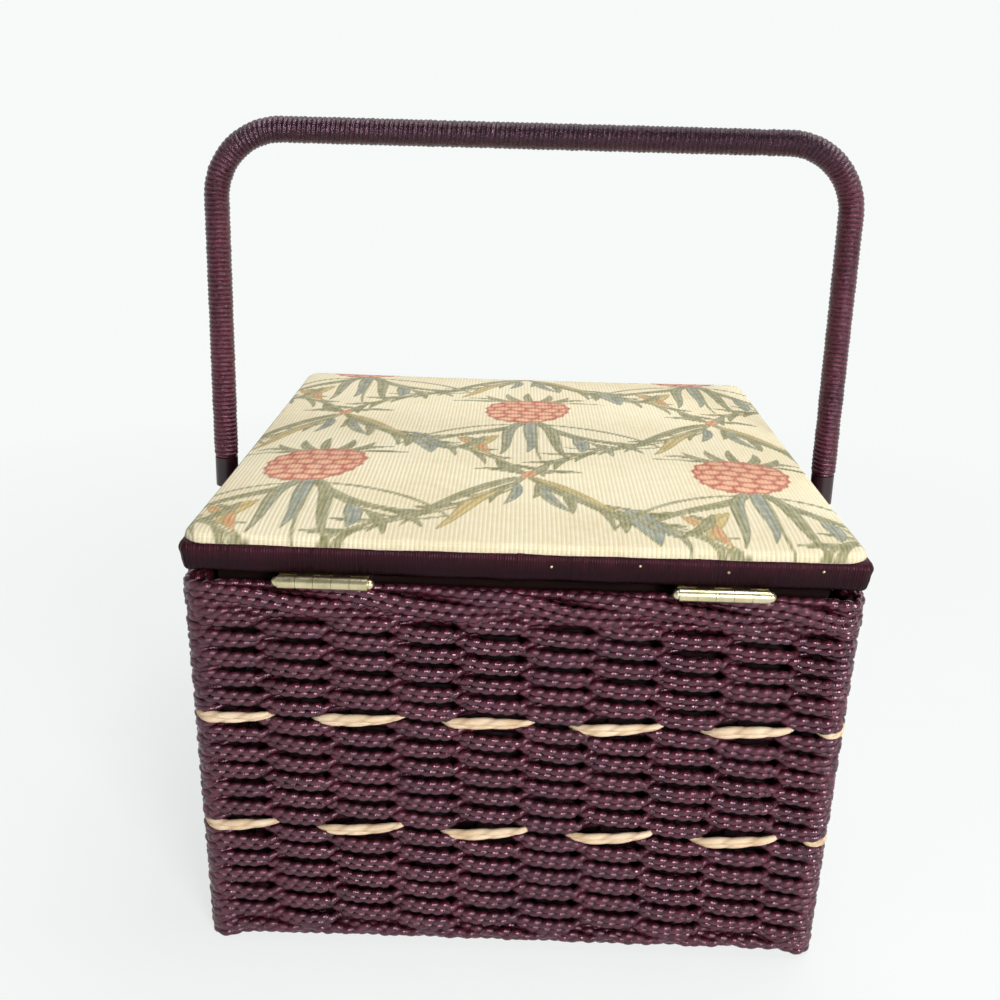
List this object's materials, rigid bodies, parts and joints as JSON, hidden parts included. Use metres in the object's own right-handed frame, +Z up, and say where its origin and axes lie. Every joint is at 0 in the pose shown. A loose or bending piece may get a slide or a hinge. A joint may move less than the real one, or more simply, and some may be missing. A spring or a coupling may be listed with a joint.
{
  "type": "sewing basket",
  "caption": "Square cord-woven sewing basket with a padded fabric lid on rear butt hinges and a wound bail handle that swings on the side walls.",
  "frame": {"origin": "bottom centre: the middle of the woven walls at the floor", "axes": "+X to the right seen from the hinge side, +Y from the hinged rear wall towards the front, where the lid opens, +Z up"},
  "size_m": [0.294, 0.2606, 0.3241],
  "materials": {
    "cord_plum": "glossy twisted cord",
    "cord_beige": "glossy twisted cord",
    "reed": "dyed",
    "thread_plum": "wound thread, semi-gloss",
    "board": "bare hardboard",
    "frame_wood": "bare",
    "satin": "satin",
    "foam": "open-cell foam",
    "tapestry": "woven tapestry",
    "brass": "polished",
    "steel": "plated",
    "winding": "wound vinyl cord",
    "sleeve": "moulded",
    "tray_plastic": "moulded",
    "leatherette": "grained"
  },
  "bodies": {
    "basket": {"weave_lower": "cord_plum", "accent_course_lower": "cord_beige", "weave_middle": "cord_plum", "accent_course_upper": "cord_beige", "weave_upper": "cord_plum", "stakes": "reed", "bottom_border": "cord_plum", "top_border": "cord_plum", "base_board": "board", "corner_posts": "frame_wood", "rear_panel": "satin", "front_panel": "satin", "left_panel": "satin", "right_panel": "satin", "top_frame": "frame_wood", "tray_ledge": "frame_wood", "base_pad": "satin", "notions_tray": "tray_plastic", "left_hinge_lower_leaf": "brass", "right_hinge_lower_leaf": "brass", "wall_grommets": "sleeve", "snap_stud": "brass"},
    "lid": {"lid_frame": "frame_wood", "rim_wrap": "thread_plum", "lid_board": "board", "lid_padding": "foam", "tapestry_cover": "tapestry", "lid_lining": "satin", "lid_pocket": "satin", "pincushion": "satin", "left_hinge_upper_leaf": "brass", "right_hinge_upper_leaf": "brass", "closure_tab": "leatherette", "snap_cap": "brass"},
    "handle": {"handle_bail": "winding", "pivot_rods": "steel", "end_sleeves": "sleeve", "retaining_washers": "steel"}
  },
  "joints": [
    {"name": "lid_hinge", "type": "hinge", "parent": "basket", "child": "lid", "pos_m": [0, -0.12717, 0.1655], "axis": [1, 0, 0], "range_deg": [0, 41]},
    {"name": "handle_swing", "type": "hinge", "parent": "basket", "child": "handle", "pos_m": [0, 0, 0.1425], "axis": [1, 0, 0], "range_deg": [-128, 128]}
  ]
}
